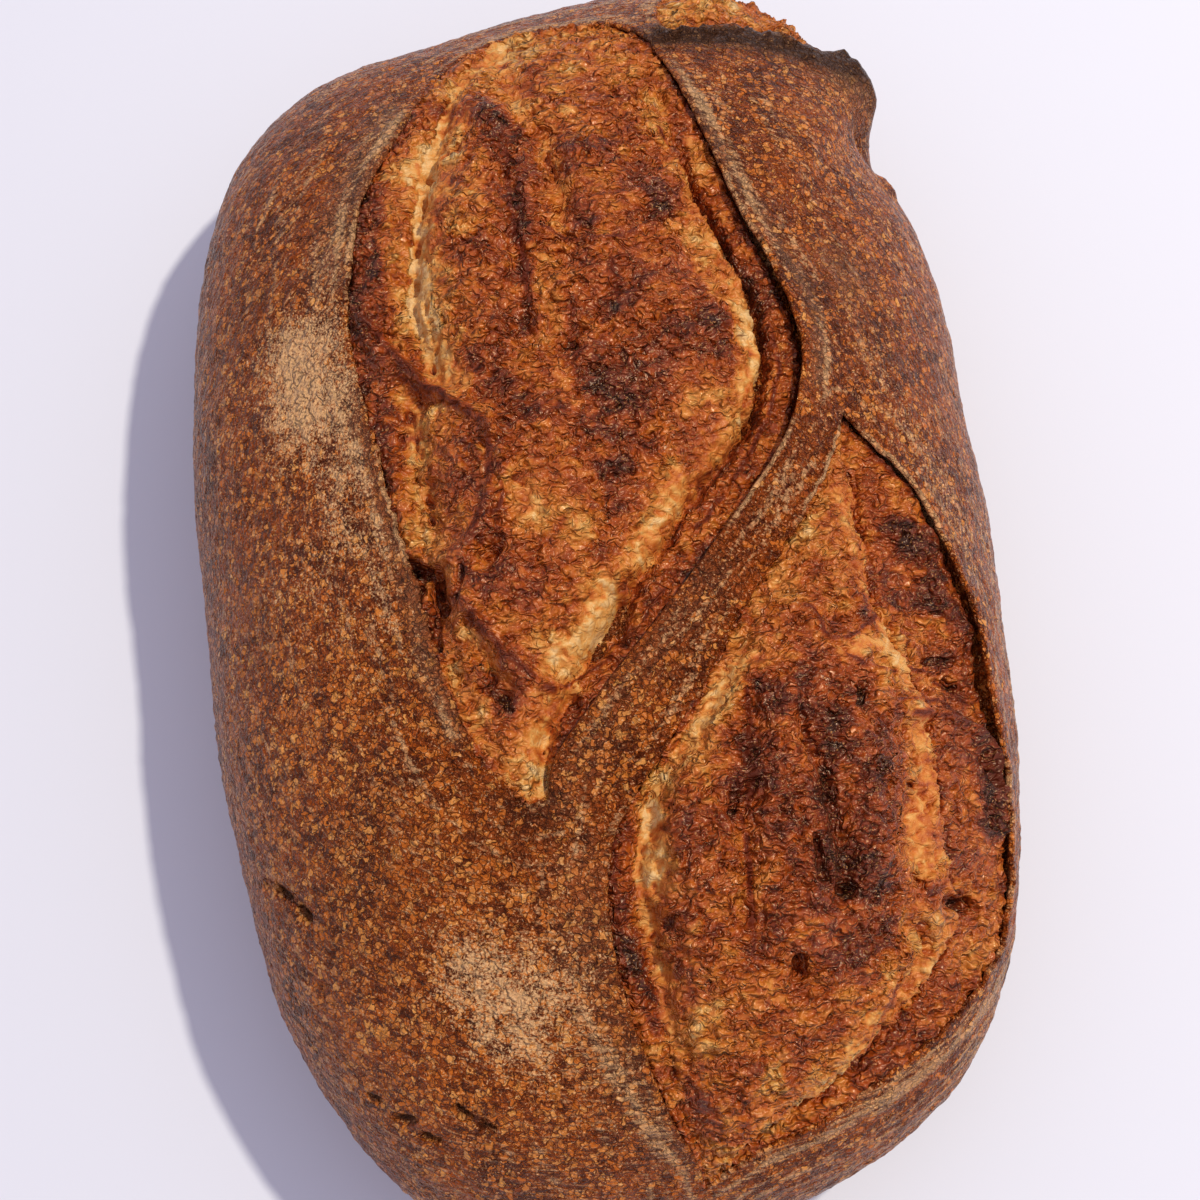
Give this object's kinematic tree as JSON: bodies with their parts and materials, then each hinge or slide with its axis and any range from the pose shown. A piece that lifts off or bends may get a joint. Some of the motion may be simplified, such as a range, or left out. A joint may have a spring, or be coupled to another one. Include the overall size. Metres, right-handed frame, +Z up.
{
  "type": "bread loaf",
  "caption": "Oval hearth loaf with a flat underside, a dark crust and two long slanting scores that opened into torn, domed blooms.",
  "frame": {"origin": "middle of the flat underside's bounding box, on the surface that the loaf rests on", "axes": "+Z up, +Y along the loaf towards the end with the raised crust flap, +X across it towards the side on which the lower score opens"},
  "size_m": [0.1808, 0.2926, 0.099],
  "materials": {
    "crust": "dark baked bread crust, blistered and dusted with flour, glossy and orange-brown where it tore open"
  },
  "bodies": {
    "root": {"loaf": "crust"}
  },
  "joints": []
}
